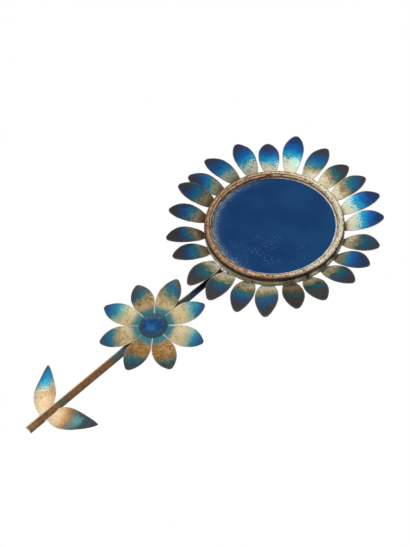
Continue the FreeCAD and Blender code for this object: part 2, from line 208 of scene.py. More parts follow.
def hand_over(geometry, finish):
    """Ends a tree with real faces, their finish and the way out."""
    geometry = through("SetMaterial", through("RealizeInstances", geometry), {"Material": finish})
    put(geometry.tree, "NodeGroupOutput", None, {"Geometry": geometry})
    return geometry.tree


print("units of a tree:", ", ".join(UNITS))

# %% [markdown]
# The outline is the solids' own: straight to a shoulder, one arc to the widest place, one arc to the
# tip circle. Each stretch is worked out for every point and then switched on over its own part of
# the length, because a tree has no branches: it can only multiply by one or by nothing.


# %% The outline of a petal
def petal_half_width(p, along):
    """Half the outline's width at a distance along the petal."""
    low, wide = p["Shoulder Place"], p["Widest Place"]
    shoulder, half, tip = p["Shoulder Half"], p["Half Width"], p["Tip Radius"]
    straight = p["Root Half"] + (shoulder - p["Root Half"]) * (along / low).at_least(0.0).at_most(1.0)
    swell = half - shoulder
    lower = ((wide - low) ** 2.0 + swell ** 2.0) / (2.0 * swell)
    below = wide - along.at_least(low).at_most(wide)
    rising = half - lower + (lower ** 2.0 - below ** 2.0).root()
    tip_centre = p["Length"] - tip
    run = tip_centre - wide
    upper = (run ** 2.0 + half ** 2.0 - tip ** 2.0) / (2.0 * (half - tip))
    closing = half - upper + (upper ** 2.0 - (along - wide).at_least(0.0) ** 2.0).root()
    rounded = (tip ** 2.0 - (along - tip_centre) ** 2.0).at_least(0.0).root()
    meets = tip_centre + tip * run / (upper - tip)
    past = along > meets
    above = (along > wide) * (1.0 - past)
    middle = (along > low) * (1.0 - above) * (1.0 - past)
    width = straight * (1.0 - (along > low)) + rising * middle + closing * above + rounded * past
    share = ((along - wide) / (p["Length"] - wide)).at_least(0.0).at_most(1.0)
    return width * (1.0 - p["Pinch"] * 6.75 * share * share * (1.0 - share))


print("outline ready")

# %% The tree that forms a petal
TONES = ["Blue From", "Grey From", "Rust", "Teal", "Shade", "Slant"]
PETAL_INPUTS = {
    "DISTANCE": ["Length", "Half Width", "Root Half", "Shoulder Half", "Shoulder Place", "Widest Place",
                 "Tip Radius", "Cup Radius", "Dish Radius", "Trough Place", "Foot Place", "Trim Radius",
                 "Hinge Radius", "Set Back", "Centre X", "Centre Z", "Tongue Start", "Tongue End",
                 "Tongue Start Half", "Tongue End Half", "Dents", "Rim Bend"],
    "ANGLE": ["Roll", "Rise", "Lean", "Turn"],
    "NONE": ["Pinch", "Foot Curve", "Arched", "Wobble", "Seed"] + TONES,
}


def flat_sheet(tree, columns, rows):
    """A flat grid that runs from -1 to 1 across and half a unit each way along."""
    return put(tree, "GeometryNodeMeshGrid", None,
               {"Size X": 2.0, "Size Y": 1.0, "Vertices X": columns, "Vertices Y": rows})


def formed_blade(tree, p, side, share):
    """The blade, squeezed to its outline, beaten, bent and raised."""
    at_root, reach = side * p["Root Half"], p["Hinge Radius"] * p["Lean"].cos()
    inside = (reach ** 2.0 - at_root ** 2.0 + 2.0 * at_root * p["Lean"].sin() * p["Hinge Radius"]
              - p["Hinge Radius"] ** 2.0 + p["Trim Radius"] ** 2.0)
    dish, trough, bend = p["Dish Radius"], p["Trough Place"], 1.0 - 2.0 * p["Arched"]
    level = (dish ** 2.0 - trough ** 2.0).root()
    steep = p["Rise"].cos() + bend * trough / level * p["Rise"].sin()
    curved = ((inside.at_least(0.0).root() - reach) / steep).at_least(-1.0 * MM)
    foot = curved * p["Foot Curve"] + p["Foot Place"] * (1.0 - p["Foot Curve"])
    along = foot + (p["Length"] - foot) * (1.0 - (1.0 - share).at_least(0.0) ** 1.8)
    wave = noise(vector(side * 1.6, along / (13.0 * MM), 0.0), 1.0, 1.0, p["Seed"])
    free = along.step(p["Shoulder Place"] + 2.0 * MM, p["Shoulder Place"] + 14.0 * MM)
    half = petal_half_width(p, along.at_least(0.0)) * (1.0 - p["Wobble"] * (wave - 0.5) * free)
    across = side * half
    rim = (half - abs(across)).at_most(p["Length"] - along)
    bowl = p["Cup Radius"] - (p["Cup Radius"] ** 2.0 - across ** 2.0).root()
    hollow = bend * (level - ((dish * bend - bowl) ** 2.0 - (along - trough) ** 2.0).root())
    beaten = p["Dents"] * cloud(vector(across, along, 0.0), 15.0, 1.5, p["Seed"] + 7.0)
    curled = p["Rim Bend"] * (1.0 - rim.step(0.0, 2.4 * MM))
    hollow = hollow - (beaten + curled) * along.step(2.0 * MM, 20.0 * MM)
    blade = flat_sheet(tree, 27, 60)
    for label, value in [("along", along / p["Length"]), ("side", side), ("rim", rim / MM)]:
        blade = write_down(blade, label, value)
    blade = through("SetPosition", blade, {"Position": vector(across, 0.0 - hollow, along)})
    blade = through("Transform", blade, {"Rotation": vector(0.0, 0.0, p["Roll"])})
    return through("Transform", blade, {"Rotation": vector(p["Rise"], p["Lean"], 0.0),
                                        "Translation": vector(0.0, 0.0 - p["Set Back"], p["Hinge Radius"])})


def tongue(tree, p, side, share):
    """The strip that is soldered down at the root, where the petal has one."""
    reach = p["Tongue Start"] + (p["Tongue End"] - p["Tongue Start"]) * share
    half = p["Tongue Start Half"] + (p["Tongue End Half"] - p["Tongue Start Half"]) * share
    strip = write_down(write_down(flat_sheet(tree, 3, 5), "rim", 5.0), "side", side * 0.5)
    strip = through("SetPosition", strip, {"Position": vector(side * half, 0.0 - p["Set Back"], reach)})
    return put(tree, "GeometryNodeSwitch", {"input_type": "GEOMETRY"},
               {"Switch": p["Tongue End Half"] > 0.0, "True": strip})


def petal_recipe():
    """The geometry tree of one formed petal."""
    tree, p = new_recipe("formed_petal", PETAL_INPUTS)
    side, middle = put(tree, "GeometryNodeInputPosition").parts()[:2]
    both = tree.nodes.new("GeometryNodeJoinGeometry")
    for sheet in (tongue(tree, p, side, middle + 0.5), formed_blade(tree, p, side, middle + 0.5)):
        tree.links.new(sheet.socket, both.inputs[0])
    petal = through("Transform", Thread(both.outputs[0]),
                    {"Rotation": vector(0.0, p["Turn"], 0.0),
                     "Translation": vector(p["Centre X"], 0.0, p["Centre Z"])})
    for label in TONES + ["Seed"]:
        petal = write_down(petal, label.lower().replace(" ", "_"), p[label])
    petal = through("MergeByDistance", petal, {"Distance": 0.02 * MM})
    return hand_over(through("SetShadeSmooth", petal), p["Finish"])


formed_petal = petal_recipe()
print("petal tree has", len(formed_petal.nodes), "nodes")

# %% [markdown]
# A tree becomes a plain mesh in two turns. The first works the tree out. The second gives the
# sheet its thickness with Solidify, half to each side as in the solids, and breaks its sharp cut
# edge with a very small Bevel, because a thin bright line along a cut edge is what makes sheet
# metal look like metal.


# %% From a tree to a finished sheet
def settle(piece):
    """Turns a piece and its modifiers into one plain mesh."""
    bpy.context.view_layer.update()
    depsgraph = bpy.context.evaluated_depsgraph_get()
    mesh = bpy.data.meshes.new_from_object(piece.evaluated_get(depsgraph), preserve_all_data_layers=True,
                                           depsgraph=depsgraph)
    piece.modifiers.clear()
    piece.data = mesh
    return piece


def grow(name, recipe, sizes, finish):
    """Makes a piece from a tree, with its sizes in millimetres and degrees, and its finish."""
    piece = in_scene(name, bpy.data.meshes.new(name))
    growth = piece.modifiers.new("growth", "NODES")
    growth.node_group = recipe
    inputs = {s.name: s for s in recipe.interface.items_tree if s.in_out == "INPUT"}
    for label, value in sizes.items():
        growth[inputs[label].identifier] = value * UNITS[inputs[label].subtype]
    growth[inputs["Finish"].identifier] = finish
    return settle(piece)


def thicken(piece, thickness, bevel=0.12 * MM):
    """Gives a sheet its thickness and breaks its cut edge."""
    wall = piece.modifiers.new("wall", "SOLIDIFY")
    wall.thickness = thickness
    wall.offset = 0.0
    wall.use_even_offset = True
    edge = piece.modifiers.new("edge", "BEVEL")
    edge.width = bevel
    edge.segments = 2
    edge.limit_method = "ANGLE"
    edge.angle_limit = math.radians(50)
    settle(piece)
    piece.data.set_sharp_from_angle(angle=math.radians(38))
    return piece


def attach(piece, body, slot, *replaced):
    """A finished piece rides on a body and stands for its solids. Its slot is not used."""
    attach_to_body(piece, body)
    if replaced:
        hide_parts(*replaced)
    return piece


def dress(node, finish):
    """Gives a solid its finish."""
    mesh = nodes[node].data
    mesh.materials.clear()
    mesh.materials.append(finish)


print("sheet helpers ready")

# %% [markdown]
# Tin that is heated turns straw, then brown, then blue, and where the flame stayed longest it goes
# grey. On every petal the root stays pale and the colours run out towards the tip, with a border
# that wanders and is full of specks. One finish does all petals: it reads how far along its petal
# a point lies, shifts that by noise, and mixes the colours over one another in the order in which
# the flame makes them. How far the flame went differs from petal to petal and comes from the tones
# that each petal carries. Colours mix through the Mix node, which keeps them colours.


# %% Mixing colours and reading a petal's notes
def mixed(low, high, share):
    """One colour going over into another by a share."""
    return put(tree_of(low, high, share), "ShaderNodeMix", {"data_type": "RGBA", "clamp_factor": True},
               {0: share, 6: low, 7: high}, out=2)


def layered(ground, *layers):
    """Tones laid over a ground, from the lowest to the topmost, each by its own share."""
    for tone, share in layers:
        ground = mixed(ground, tone, share)
    return ground


def note(tree, label):
    """A number that the piece carries at each point."""
    return put(tree, "ShaderNodeAttribute", {"attribute_name": label}, out="Fac")


def new_finish(name):
    """A material, and the object's own coordinates in metres."""
    finish = bpy.data.materials.new(name)
    finish.use_nodes = True
    return finish, put(finish.node_tree, "ShaderNodeTexCoord", out="Object")


def lay(finish, colour, rough, metal=0.0, relief=None, depth=0.3, gloss=0.5):
    """Joins colour, roughness, metal and relief to the shader. The relief's depth is in millimetres."""
    tree = finish.node_tree
    shader = tree.nodes["Principled BSDF"]
    for label, value in [("Base Color", colour), ("Roughness", rough), ("Metallic", metal)]:
        if isinstance(value, Thread):
            tree.links.new(value.socket, shader.inputs[label])
        else:
            shader.inputs[label].default_value = value
    if relief is not None:
        bump = put(tree, "ShaderNodeBump", None,
                   {"Strength": 1.0, "Distance": depth * MM, "Height": relief}, out="Normal")
        tree.links.new(bump.socket, shader.inputs["Normal"])
    shader.inputs["Specular IOR Level"].default_value = gloss
    return finish


print("colour helpers ready")

# %% The flame-coloured tin
WHITE_TIN, STRAW_TIN, BROWN_TIN = (0.98, 0.88, 0.62), (0.50, 0.32, 0.14), (0.21, 0.090, 0.030)
PALE_CYAN, BRIGHT_CYAN, FLAME_BLUE = (0.46, 0.82, 0.76), (0.004, 0.34, 0.60), (0.001, 0.105, 0.37)
DEEP_BLUE, OLIVE_TIN, DULL_TEAL = (0.001, 0.036, 0.17), (0.16, 0.17, 0.080), (0.010, 0.125, 0.150)
STEEL_BLUE, VIOLET_TIN, SLATE_TIN = (0.008, 0.072, 0.105), (0.018, 0.028, 0.068), (0.036, 0.042, 0.050)
BROWN_SLATE, RUBBED_EDGE_AND_HIGHLIGHT, DARK_SPECK = (0.055, 0.044, 0.037), (0.66, 0.60, 0.46), (0.045, 0.024, 0.012)
GREEN_SPECK, BLACK = (0.018, 0.060, 0.045), (0.0, 0.0, 0.0)


def flame_coloured_tin(name, white=WHITE_TIN, straw=STRAW_TIN, brown=BROWN_TIN, pale=PALE_CYAN,
                       cyan=BRIGHT_CYAN, blue=FLAME_BLUE, deep=DEEP_BLUE, foot=(0.20, 0.12, 0.06),
                       foot_share=0.18, foot_more=0.0, grain=1.0, flecked=0.85, rim_width=3.0,
                       slate=SLATE_TIN, teal=DULL_TEAL, spotted=1.0, root_shadow_share=0.0, evenly=0.0):
    """The finish of the petals and leaves."""
    finish, place = new_finish(name)
    along, side, rim, blue_from, grey_from, rust, dull, shade, slant, seed = (
        note(place.tree, label) for label in ("along", "side", "rim", "blue_from", "grey_from", "rust",
                                              "teal", "shade", "slant", "seed"))
    patches = cloud(place, 15, 3.0, seed, 0.55)
    small = cloud(place, 4.2, 3.0, seed + 3.0, 0.6)
    spots = cloud(place, 2.9, 2.0, seed + 4.0, 0.5)
    specks = cloud(place, 1.5, 2.0, seed + 5.0, 0.6)
    drift, ragged = patches - 0.5, small - 0.5
    heat = along + drift * (0.24 + dull * 0.22) + ragged * (0.12 + dull * 0.10) + side * slant
    worn = rust * (1.75 * along / blue_from * (1.0 - evenly) - 0.35 + evenly * 1.25)
    worn = worn + (drift + ragged) * grain

    def past(start, end):
        """Rises from 0 to 1 where the heat passes the blue's own border."""
        return heat.step(blue_from + start, blue_from + end)

    at_foot = 1.0 - (along + ragged * 0.22).step(foot_share * 0.4, foot_share * 1.5)
    blotches = (spots * 0.5 + small * 0.5).step(0.54, 0.60) * spotted
    flecks = past(-0.24, -0.06) * (1.0 - past(0.02, 0.16)) * (spots * 0.75 + specks * 0.25).step(0.535, 0.585)
    tip_tone = mixed(VIOLET_TIN, mixed(slate, BROWN_SLATE, (rust + small - 0.4).at_most(1.0)),
                     (dull * 1.5 + small * 0.6).at_most(1.0))
    shadowed = 1.0 - (rim + ragged * 5.0).step(1.0, 5.5 + dull * 9.0)
    # Painted shadow: a dark line across the very root of each petal, where the moulding's shadow falls.
    root_shadow = 1.0 - (along + ragged * 0.06).step(0.015, 0.07)
    # The pale line along each cut edge is rubbed bare tin and in part a painted highlight of the edge. It is
    # painted darker with a petal's shade, as painted shade, and with its rust.
    rim_line = 1.0 - (rim + ragged * rim_width).step(rim_width * 0.4, rim_width)
    rim_tone = mixed(mixed(RUBBED_EDGE_AND_HIGHLIGHT, (0.16, 0.15, 0.14), past(-0.12, 0.10)), (0.10, 0.09, 0.08),
                     (shade + rust * 0.4).at_most(0.8))
    colour = layered(
        mixed(white, straw, worn.step(0.06, 0.75)),
        (brown, worn.step(0.50, 1.10)),
        (brown, blotches * (0.10 + rust * 0.90).at_most(1.0)),
        (DARK_SPECK, specks.step(0.58, 0.66) * (0.12 + rust * 0.55) * spotted),
        # On the head's petals the foot tone comes only through shade: a painted shadow of the moulding on
        # their roots. On the small flower and the leaves, foot_more lays it as the tin's own colour.
        (foot, at_foot * (shade * 2.0 + foot_more).at_most(1.0)),
        (mixed(pale, OLIVE_TIN, dull.step(0.05, 0.5)), past(-0.28, -0.03) * (0.96 - rust * 0.7)),
        (mixed(cyan, teal, dull * 1.5), past(-0.09, 0.07)),
        (mixed(blue, STEEL_BLUE, dull * dull * 1.3), past(0.05, 0.24)),
        (GREEN_SPECK, flecks * flecked),
        (mixed(deep, slate, dull), past(0.20, 0.46) * 0.9),
        (VIOLET_TIN, patches.step(0.50, 0.66) * past(0.22, 0.40) * 0.45),
        (tip_tone, heat.step(grey_from - 0.26, grey_from + 0.24)),
        (tip_tone, shadowed * past(-0.04, 0.14) * (0.5 + dull * 0.4)),
        # Black over the whole petal by its shade tone: painted shade.
        (BLACK, shade * 0.6),
        (DARK_SPECK, root_shadow * root_shadow_share),
        (rim_tone, rim_line * 0.7))
    return lay(finish, colour, 0.30 + small * 0.18 + specks * 0.10 + rim_line * 0.10,
               0.12 + past(-0.2, 0.1) * 0.30, patches * 0.5 + small * 0.28 + specks * 0.10, 0.5, gloss=0.2)


petal_tin = flame_coloured_tin("petal_tin", foot_share=0.27, root_shadow_share=0.9)
print("petal finish has", len(petal_tin.node_tree.nodes), "nodes")

# %% [markdown]
# Twenty-three petals ring the mirror. Each was cut and bent by hand, so no two agree: root and tip
# point in their own directions, and reach, width, rise and roll differ. The table says these as the
# solids have them, as shares of one petal's sizes, and the second table says how far the flame
# went on each petal. The petals towards the light are nearly white at the root and vivid blue
# outside, and those beside and below the stem are straw, brown and slate.

# %% The petals of the head
TIN = 0.8 * MM
HINGE_RADIUS, TIP_ALLOWANCE = 143.8, 0.5
PETAL_REACH, PETAL_WIDTH, PETAL_ROOT_WIDTH, TONGUE_SHARE = 80, 44, 24, 0.66
PETAL_PLACES = [
    # root, tip, reach, width, root width, widest place, rise, roll
    (329.4, 328.2, 1.23, 1.02, 0.55, 0.57, 16.0, 0.0), (343.6, 346.5, 1.06, 1.01, 0.66, 0.56, 18.0, 0.0),
    (357.9, 2.3, 0.95, 1.00, 0.75, 0.54, 14.5, 3.0), (13.2, 16.1, 0.97, 1.00, 0.78, 0.52, 19.5, 3.0),
    (29.4, 29.5, 1.04, 0.98, 0.80, 0.53, 17.0, 2.0), (45.7, 44.4, 0.98, 1.04, 0.80, 0.54, 17.5, 0.0),
    (61.2, 63.6, 0.93, 0.98, 0.70, 0.54, 15.5, 0.0), (78.0, 78.4, 0.93, 1.00, 0.70, 0.54, 20.5, -1.0),
    (93.3, 90.2, 0.89, 0.97, 0.75, 0.52, 15.0, -3.0), (109.2, 109.7, 0.91, 0.99, 0.85, 0.52, 18.5, 0.0),
    (123.9, 124.4, 0.89, 0.96, 1.08, 0.49, 16.0, -2.0), (141.0, 140.4, 1.13, 1.03, 1.00, 0.50, 17.0, 0.0),
    (156.7, 154.2, 1.11, 1.02, 1.00, 0.50, 17.0, 0.0), (173.6, 168.8, 1.10, 1.03, 1.00, 0.54, 18.5, -2.0),
    (188.8, 183.0, 1.06, 1.01, 1.00, 0.50, 16.0, 2.0), (203.8, 203.6, 0.95, 1.00, 0.85, 0.50, 15.5, 2.0),
    (220.8, 215.4, 0.98, 0.99, 0.80, 0.52, 18.5, 1.0), (237.4, 235.9, 0.98, 1.01, 0.80, 0.53, 17.0, 0.0),
    (254.0, 252.3, 1.01, 1.00, 0.75, 0.53, 21.0, -5.0), (268.9, 262.2, 1.04, 0.97, 0.62, 0.53, 13.0, -7.0),
    (285.8, 275.4, 1.05, 1.00, 0.55, 0.55, 17.0, 0.0), (299.6, 295.5, 1.11, 1.03, 0.55, 0.56, 17.0, 0.0),
    (313.8, 312.5, 0.97, 1.03, 0.50, 0.57, 17.0, 0.0),
]
PETAL_TONES = [
    # blue from, grey from, rust, teal, shade, slant
    (0.42, 0.92, 0.05, 0.00, 0.00, 0.04), (0.42, 0.84, 0.14, 0.50, 0.05, -0.05),
    (0.50, 0.80, 0.46, 0.95, 0.08, 0.05), (0.50, 0.92, 0.50, 0.62, 0.00, 0.05),
    (0.39, 0.92, 0.03, 0.00, 0.00, -0.04), (0.44, 0.95, 0.00, 0.00, 0.00, 0.03),
    (0.46, 0.90, 0.50, 0.80, 0.15, 0.06), (0.32, 0.86, 0.90, 0.20, 0.30, -0.05),
    (0.40, 0.72, 0.50, 0.70, 0.25, 0.06), (0.36, 0.58, 0.50, 0.95, 0.20, 0.10),
    (0.42, 0.58, 0.90, 1.00, 0.45, 0.04), (0.42, 0.76, 0.42, 0.60, 0.08, -0.06),
    (0.42, 0.74, 0.62, 0.55, 0.20, 0.05), (0.42, 0.68, 0.30, 0.75, 0.08, -0.04),
    (0.38, 0.68, 0.30, 0.85, 0.10, 0.05), (0.34, 0.68, 0.15, 0.45, 0.45, 0.04),
    (0.36, 0.68, 0.50, 0.50, 0.65, -0.06), (0.38, 0.72, 0.55, 0.35, 0.65, 0.05),
    (0.40, 0.74, 0.55, 0.40, 0.65, 0.04), (0.38, 0.76, 0.60, 0.25, 0.55, -0.05),
    (0.40, 0.80, 0.50, 0.20, 0.50, 0.05), (0.40, 0.86, 0.45, 0.10, 0.20, -0.04),
    (0.40, 0.80, 0.34, 0.15, 0.05, 0.05),
]


def head_petal_sizes(root, tip, reach, width, root_width, widest, rise, roll):
    """The tree's sizes for one petal of the head."""
    tip_radius = HINGE_RADIUS + PETAL_REACH * reach
    lean = math.radians(tip - root)
    out, up = tip_radius * math.sin(lean), tip_radius * math.cos(lean) - HINGE_RADIUS
    length = math.hypot(out, up) / math.cos(math.radians(rise))
    root_half = PETAL_ROOT_WIDTH * root_width / 2
    tongue_half = root_half * TONGUE_SHARE
    return {"Length": length - TIP_ALLOWANCE, "Half Width": PETAL_WIDTH * width / 2, "Root Half": root_half,
            "Shoulder Half": root_half, "Widest Place": length * widest, "Tip Radius": 9, "Cup Radius": 100,
            "Dish Radius": 150, "Trough Place": length * 0.5, "Arched": 1, "Foot Curve": 1,
            "Trim Radius": 142.9, "Hinge Radius": HINGE_RADIUS, "Set Back": 1.4, "Roll": roll, "Rise": rise,
            "Lean": math.degrees(math.atan2(out, up)), "Turn": root, "Tongue Start": HINGE_RADIUS - 18,
            "Tongue End": HINGE_RADIUS + 1.5, "Tongue Start Half": tongue_half,
            "Tongue End Half": tongue_half, "Dents": 0.9, "Rim Bend": 0.35, "Wobble": 0.06}


def form_sheet(node, slot, sizes, tones, finish, trim=None):
    """A sheet from the petal tree, trimmed, thickened and put in place of the solid of that name."""
    sheet = grow("formed_" + node, formed_petal, {**sizes, **dict(zip(TONES, tones))}, finish)
    if trim:
        trim(sheet)
    return attach(thicken(sheet, TIN), "mirror", slot, node)


for number, (place, tones) in enumerate(zip(PETAL_PLACES, PETAL_TONES), 1):
    sizes = {**head_petal_sizes(*place), "Seed": number * 1.37}
    petal = form_sheet("petal_%02d" % number, "petal_tin", sizes, tones, petal_tin)
print("head petals", len(PETAL_PLACES), "faces on the last", len(petal.data.polygons))

# %% [markdown]
# The small flower has eight broad petals, cut as wedges that nearly touch, with narrow slits
# between them, and its tips are less round. The same tree forms them with a shoulder where the
# slit ends. Round the button they are teal, then straw and gold, with blue and slate tips.

# %% The small flower's petals
FLOWER_X, FLOWER_Z, FLOWER_HINGE = -1.5, -332, 28.2
FLOWER_LENGTH, FLOWER_SHOULDER, WEDGE, SLIT = 78, 14, 45, 0.8
TONGUE_START, TONGUE_END = 12, 29.7
FLOWER_PLACES = [
    # reach, lean
    (1.01, -0.7), (1.01, 2.3), (1.00, 1.4), (1.02, 1.2), (1.01, 1.8), (1.01, 1.0), (0.92, 0.5), (1.07, -0.2),
]
FLOWER_TONES = [
    # blue from, grey from, rust, teal, shade, slant
    (0.66, 0.97, 0.22, 0.15, 0.00, 0.05), (0.68, 0.97, 0.20, 0.05, 0.00, -0.06),
    (0.74, 0.86, 0.78, 0.95, 0.00, 0.05), (0.62, 0.94, 0.80, 0.90, 0.00, -0.06),
    (0.64, 0.95, 0.34, 0.40, 0.05, 0.06), (0.64, 0.98, 0.20, 0.10, 0.00, 0.05),
    (0.58, 0.80, 0.50, 0.75, 0.25, -0.08), (0.56, 0.90, 0.34, 0.70, 0.05, 0.10),
]


def wedge_half(radius):
    """Half the room that a flower petal has at a radius, less half a slit."""
    return radius * math.tan(math.radians(WEDGE / 2)) - SLIT / 2


flower_tin = flame_coloured_tin("flower_tin", white=(0.70, 0.58, 0.32), straw=(0.46, 0.23, 0.052),
                                brown=(0.17, 0.072, 0.020), pale=(0.16, 0.38, 0.34),
                                cyan=(0.008, 0.20, 0.28), blue=(0.002, 0.11, 0.30),
                                foot=(0.030, 0.190, 0.23), foot_share=0.17, foot_more=1.0, grain=0.7,
                                flecked=0.4, rim_width=1.6, slate=(0.060, 0.085, 0.085), spotted=1.5,
                                evenly=0.85)
for index, (reach, lean) in enumerate(FLOWER_PLACES):
    length = FLOWER_LENGTH * reach
    sizes = {"Length": length, "Half Width": 22.5, "Root Half": wedge_half(FLOWER_HINGE),
             "Shoulder Half": wedge_half(FLOWER_HINGE + FLOWER_SHOULDER),
             "Shoulder Place": FLOWER_SHOULDER, "Widest Place": length * 0.49, "Tip Radius": 7,
             "Cup Radius": 70, "Dish Radius": 320, "Trough Place": length * 0.33,
             "Hinge Radius": FLOWER_HINGE, "Set Back": 8.4, "Rise": 2.5, "Lean": lean,
             "Turn": WEDGE / 2 + WEDGE * index, "Centre X": FLOWER_X, "Centre Z": FLOWER_Z,
             "Tongue Start": TONGUE_START, "Tongue End": TONGUE_END,
             "Tongue Start Half": wedge_half(TONGUE_START), "Tongue End Half": wedge_half(TONGUE_END),
             "Dents": 0.7, "Rim Bend": 0.3, "Wobble": 0.02, "Seed": 41 + index * 1.61}
    form_sheet("flower_petal_%d" % (index + 1), "flower_tin", sizes, FLOWER_TONES[index], flower_tin)
print("flower petals", len(FLOWER_PLACES))

# %% [markdown]
# Two pointed leaves are soldered to the sides of the stem near its foot. They come from the petal
# tree too, with a pinch that draws the outline in before the tip. Each is then cut along the side
# of the stem, as the maker trimmed it to fit, which bmesh does with one plane.

# %% The leaves
STEM_X, STEM_HALF, STEM_FOOT = -3.5, 7.25, -633.5
LEAF_LENGTH, LEAF_HALF, LEAF_ROOT_WIDTH = 100, 21, 10
LEAF_PLACES = {
    # side, set in, height, direction, length, width, widest place, rise
    "left_leaf": (-1, 0.075, 0.375, -44.0, 0.95, 0.976, 0.38, 8.0),
    "right_leaf": (1, 0.575, 0.435, 61.5, 1.04, 1.048, 0.36, 8.0),
}
LEAF_TONES = {
    # blue from, grey from, rust, teal, shade, slant
    "left_leaf": (0.60, 0.98, 0.62, 0.05, 0.0, -0.10),
    "right_leaf": (0.50, 0.80, 0.80, 0.75, 0.0, 0.05),
}


def cut_along_stem(piece, side):
    """Takes away what would lie inside the stem."""
    work = bmesh.new()
    work.from_mesh(piece.data)
    bmesh.ops.bisect_plane(work, geom=work.verts[:] + work.edges[:] + work.faces[:],
                           plane_co=((STEM_X + side * STEM_HALF) * MM, 0, 0), plane_no=(side, 0, 0),
                           clear_inner=True)
    work.to_mesh(piece.data)
    work.free()


leaf_tin = flame_coloured_tin("leaf_tin", white=(0.97, 0.86, 0.56), straw=(0.84, 0.40, 0.13),
                              brown=(0.36, 0.15, 0.070), pale=(0.55, 0.82, 0.70),
                              cyan=(0.015, 0.32, 0.48), blue=(0.002, 0.17, 0.36), deep=(0.002, 0.085, 0.20),
                              foot=(0.90, 0.58, 0.32), foot_share=0.34, foot_more=0.6, grain=0.7,
                              flecked=0.45, rim_width=1.6, slate=(0.075, 0.140, 0.150),
                              teal=(0.12, 0.30, 0.29), spotted=0.85)
for name, (side, set_in, height, direction, long, wide, widest, rise) in LEAF_PLACES.items():
    length = LEAF_LENGTH * long
    sizes = {"Length": length, "Half Width": LEAF_HALF * wide, "Root Half": LEAF_ROOT_WIDTH / 2,
             "Shoulder Half": LEAF_ROOT_WIDTH / 2, "Widest Place": length * widest, "Tip Radius": 1.2,
             "Pinch": 0.16, "Cup Radius": 48, "Dish Radius": 300, "Trough Place": length * 0.4,
             "Foot Place": -4, "Set Back": 2.5, "Rise": rise, "Lean": direction,
             "Centre X": STEM_X + side * (STEM_HALF - LEAF_ROOT_WIDTH * set_in),
             "Centre Z": STEM_FOOT + LEAF_LENGTH * height, "Dents": 0.5, "Rim Bend": 0.25,
             "Wobble": 0.02, "Seed": 70.0 + side}
    form_sheet(name, "leaf_tin", sizes, LEAF_TONES[name], leaf_tin,
               trim=lambda sheet: cut_along_stem(sheet, side))
print("leaves", len(LEAF_PLACES))

# %% [markdown]
# The rim of the mirror is a half-round moulding bent into a ring. It was rubbed with a wheel or a cloth that
# ran round it, so everything on it runs round too: copper stripes, dark lines of specks and cream dashes on
# its crown. The cream on its crown is in part a painted highlight, cream and straw flood one side as painted
# light, its dark lines and specks are stronger away from that side as painted shade, and a dark band along
# its outer edge is a painted shadow. A pattern follows a ring when it is made from the direction out of the
# centre, which changes slowly, and from the place across the moulding, which changes fast.


# %% Directions round the mirror
def about_axis(place):
    """Distance from the axis in mm, the way out as two shares, and mm in front of the wall."""
    x, y, z = (place / MM).parts()
    radius = (x * x + z * z).root()
    return radius, (x / radius, z / radius), 0.0 - y


def facing(way, clock):
    """1 on the side that a clock angle points to, falling to -1 opposite. 0 is up."""
    return way[0] * math.sin(math.radians(clock)) + way[1] * math.cos(math.radians(clock))


def around(way, across, long, fine):
    """A place for noise that is drawn out along the ring."""
    return vector(way[0] * long, way[1] * long, across * fine)


# Clock angles at which the four sides of the photograph lie on the mirror.
PHOTO_TOP, PHOTO_RIGHT, PHOTO_BELOW, PHOTO_LEFT = 317.0, 43.6, 137.0, 232.0
print("photograph's top at", PHOTO_TOP, "degrees of the clock")

# %% The copper-coloured moulding
BEAD_CENTRE, BEAD_HALF = 136.0, 7.4
RIM_BROWN, COPPER, CREAM_AND_HIGHLIGHT = (0.13, 0.052, 0.022), (0.50, 0.235, 0.105), (0.98, 0.88, 0.62)
PINK_COPPER, OLD_STRAW, SOOT_AND_SHADOW = (0.64, 0.36, 0.23), (0.55, 0.38, 0.19), (0.022, 0.014, 0.010)


